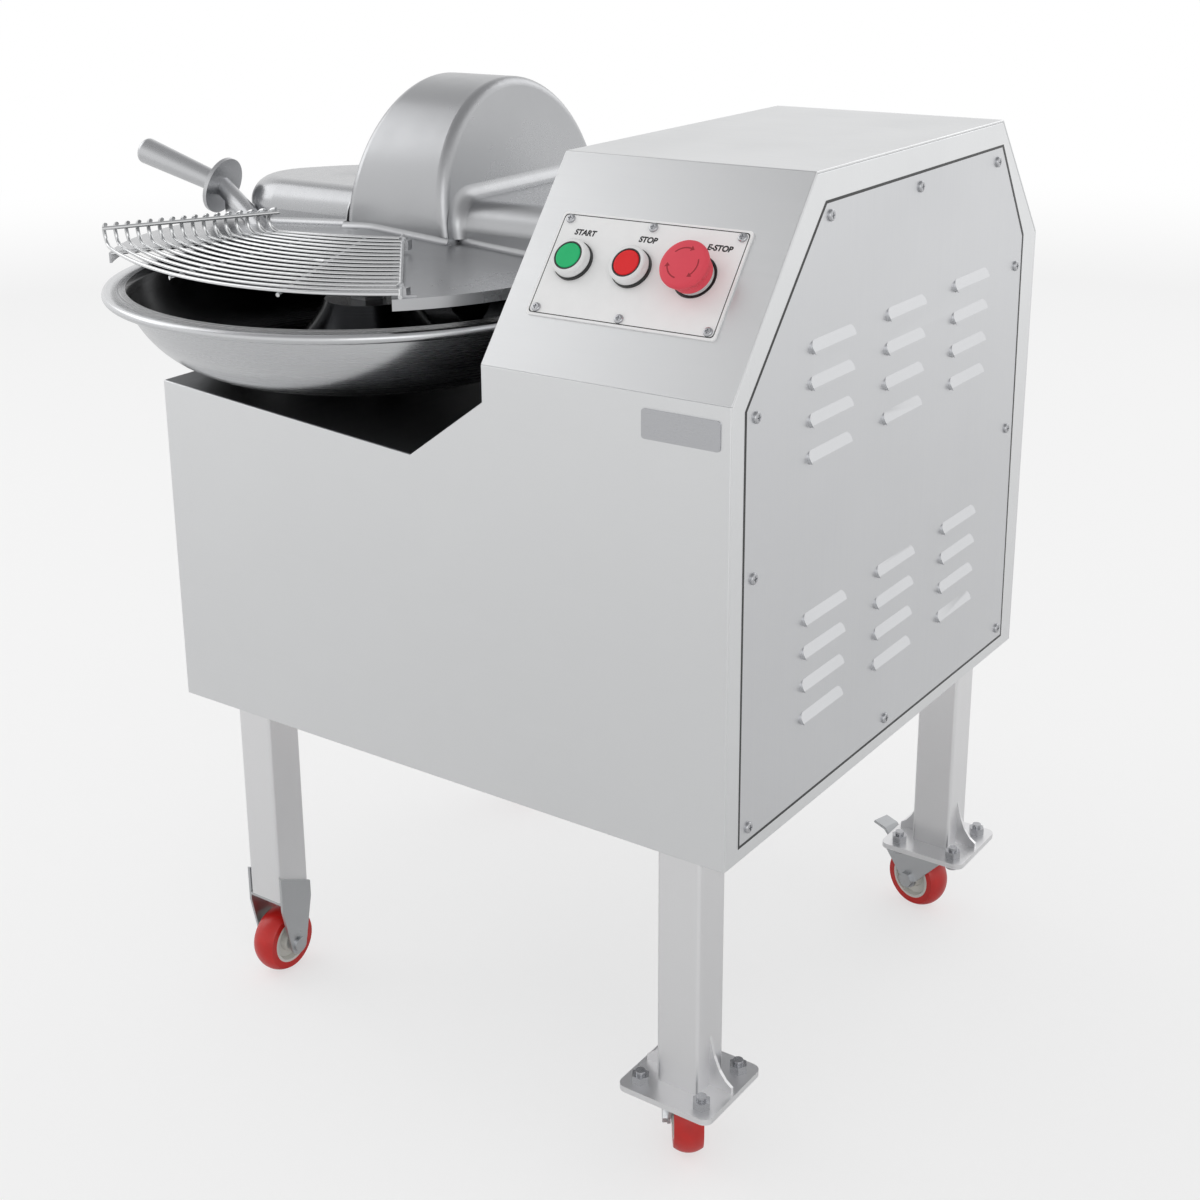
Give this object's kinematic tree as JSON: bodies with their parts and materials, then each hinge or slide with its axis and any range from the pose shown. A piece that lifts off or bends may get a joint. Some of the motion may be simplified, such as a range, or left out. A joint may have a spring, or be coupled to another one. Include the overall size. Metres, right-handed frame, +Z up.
{
  "type": "bowl cutter mixer",
  "caption": "Floor-standing food cutter with a turning bowl, knife shaft under a hinged lid, wire guard, louvred drive cabinet and caster legs.",
  "frame": {"origin": "centre of the machine's outline, at floor level under the casters", "axes": "+Z up, +X to the right towards the drive tower's side panel, +Y to the back, away from the control slope's front"},
  "size_m": [0.7523, 0.626, 0.824],
  "materials": {
    "cabinet_sheet": "fine horizontal brushing",
    "deck_sheet": "satin",
    "frame_tube": "mill finish",
    "leg_tube": "brushed along its length",
    "motor_paint": "enamel",
    "gear_motor_paint": "enamel",
    "belt_rubber": "matte",
    "cast_housing": "turned",
    "bearing_steel": "ground",
    "pulley_iron": "turned",
    "box_plastic": "matte",
    "control_white": "satin",
    "bezel_white": "gloss",
    "screw_steel": "plain",
    "plate_steel": "satin",
    "hinge_steel": "satin",
    "gland_plastic": "matte",
    "zinc_plate": "zinc plated",
    "bowl_steel": "satin",
    "knife_steel": "ground",
    "lid_steel": "polished satin",
    "wire_steel": "bright wire",
    "start_green": "gloss",
    "stop_red": "gloss",
    "estop_red": "gloss",
    "tread_red": "matte",
    "hub_white": "moulded"
  },
  "bodies": {
    "cabinet": {"front_panel": "cabinet_sheet", "left_panel": "cabinet_sheet", "rear_panel": "cabinet_sheet", "bottom_plate": "cabinet_sheet", "tower_cover": "cabinet_sheet", "tower_wall": "cabinet_sheet", "side_frame": "cabinet_sheet", "service_panel": "cabinet_sheet", "deck_tray": "deck_sheet", "inner_frame": "frame_tube", "motor_rails": "frame_tube", "leg_front_left": "leg_tube", "leg_back_left": "leg_tube", "leg_front_right": "leg_tube", "leg_back_right": "leg_tube", "main_motor": "motor_paint", "bowl_gear_motor": "gear_motor_paint", "drive_belts": "belt_rubber", "bearing_housing": "cast_housing", "deck_seal": "cast_housing", "shaft_bearings": "bearing_steel", "electrical_box": "box_plastic", "switch_blocks": "box_plastic", "control_plate": "control_white", "button_bezels": "bezel_white", "screws": "screw_steel", "foot_bolts": "screw_steel", "name_plate": "plate_steel", "hinge_bracket": "hinge_steel", "hinge_rod": "hinge_steel", "cable_gland": "gland_plastic", "caster_plates": "zinc_plate", "fixed_forks": "zinc_plate"},
    "bowl": {"bowl": "bowl_steel", "bowl_spindle": "bowl_steel", "bowl_nut": "bowl_steel"},
    "knife_set": {"knife_shaft": "knife_steel", "knives": "knife_steel", "knife_fixings": "knife_steel", "shaft_pulley": "pulley_iron"},
    "motor_rotor": {"motor_rotor": "pulley_iron"},
    "lid": {"lid": "lid_steel", "lid_handle": "lid_steel", "guard_clips": "hinge_steel"},
    "guard": {"wire_guard": "wire_steel"},
    "start_button": {"start_button": "start_green"},
    "stop_button": {"stop_button": "stop_red"},
    "estop": {"estop_head": "estop_red"},
    "wheel_front_left": {"wheel_tread_front_left": "tread_red", "wheel_hub_front_left": "hub_white"},
    "wheel_back_left": {"wheel_tread_back_left": "tread_red", "wheel_hub_back_left": "hub_white"},
    "wheel_front_right": {"wheel_tread_front_right": "tread_red", "wheel_hub_front_right": "hub_white"},
    "wheel_back_right": {"wheel_tread_back_right": "tread_red", "wheel_hub_back_right": "hub_white"},
    "swivel_front_right": {"swivel_fork_front_right": "zinc_plate"},
    "brake_front_right": {"brake_pedal_front_right": "zinc_plate"},
    "swivel_back_right": {"swivel_fork_back_right": "zinc_plate"},
    "brake_back_right": {"brake_pedal_back_right": "zinc_plate"}
  },
  "joints": [
    {"name": "bowl_spin", "type": "hinge", "parent": "cabinet", "child": "bowl", "pos_m": [-0.08241, -0.085, 0.662], "axis": [0, 0, 1], "continuous": true},
    {"name": "knife_spin", "type": "hinge", "parent": "cabinet", "child": "knife_set", "pos_m": [-0.06741, 0.035, 0.685], "axis": [1, 0, 0], "continuous": true},
    {"name": "motor_spin", "type": "hinge", "parent": "cabinet", "child": "motor_rotor", "pos_m": [0.26859, 0.065, 0.406], "axis": [1, 0, 0], "continuous": true},
    {"name": "lid_hinge", "type": "hinge", "parent": "cabinet", "child": "lid", "pos_m": [-0.16541, 0.193, 0.689], "axis": [-1, 0, 0], "range_deg": [0, 85]},
    {"name": "guard_hinge", "type": "hinge", "parent": "lid", "child": "guard", "pos_m": [0.08759, -0.24, 0.693], "axis": [-0.6305, 0.7707, 0.0923], "range_deg": [0, 45]},
    {"name": "start_press", "type": "slide", "parent": "cabinet", "child": "start_button", "axis": [0, 0.7894, -0.6139], "range_m": [0, 0.004], "stiffness_N_per_m": 1500, "springref_m": -0.0005},
    {"name": "stop_press", "type": "slide", "parent": "cabinet", "child": "stop_button", "axis": [0, 0.7894, -0.6139], "range_m": [0, 0.004], "stiffness_N_per_m": 1500, "springref_m": -0.0005},
    {"name": "estop_press", "type": "slide", "parent": "cabinet", "child": "estop", "axis": [0, 0.7894, -0.6139], "range_m": [0, 0.004]},
    {"name": "wheel_front_left_roll", "type": "hinge", "parent": "cabinet", "child": "wheel_front_left", "pos_m": [-0.14041, -0.183, 0.031], "axis": [1, 0, 0], "continuous": true},
    {"name": "wheel_back_left_roll", "type": "hinge", "parent": "cabinet", "child": "wheel_back_left", "pos_m": [-0.14041, 0.241, 0.031], "axis": [1, 0, 0], "continuous": true},
    {"name": "swivel_front_right_turn", "type": "hinge", "parent": "cabinet", "child": "swivel_front_right", "pos_m": [0.32559, -0.203, 0.074], "axis": [0, 0, 1], "continuous": true},
    {"name": "wheel_front_right_roll", "type": "hinge", "parent": "swivel_front_right", "child": "wheel_front_right", "pos_m": [0.31297, -0.18498, 0.031], "axis": [0.8192, 0.5736, 0], "continuous": true},
    {"name": "brake_front_right_press", "type": "hinge", "parent": "swivel_front_right", "child": "brake_front_right", "pos_m": [0.29921, -0.16532, 0.058], "axis": [-0.8192, -0.5736, 0], "range_deg": [0, 15]},
    {"name": "swivel_back_right_turn", "type": "hinge", "parent": "cabinet", "child": "swivel_back_right", "pos_m": [0.32559, 0.261, 0.074], "axis": [0, 0, 1], "continuous": true},
    {"name": "wheel_back_right_roll", "type": "hinge", "parent": "swivel_back_right", "child": "wheel_back_right", "pos_m": [0.30444, 0.26706, 0.031], "axis": [0.2756, 0.9613, 0], "continuous": true},
    {"name": "brake_back_right_press", "type": "hinge", "parent": "swivel_back_right", "child": "brake_back_right", "pos_m": [0.28137, 0.27368, 0.058], "axis": [-0.2756, -0.9613, 0], "range_deg": [0, 15]}
  ],
  "couplings": [
    {"joint": "motor_spin", "follows": "knife_spin", "ratio": 0.73357}
  ]
}
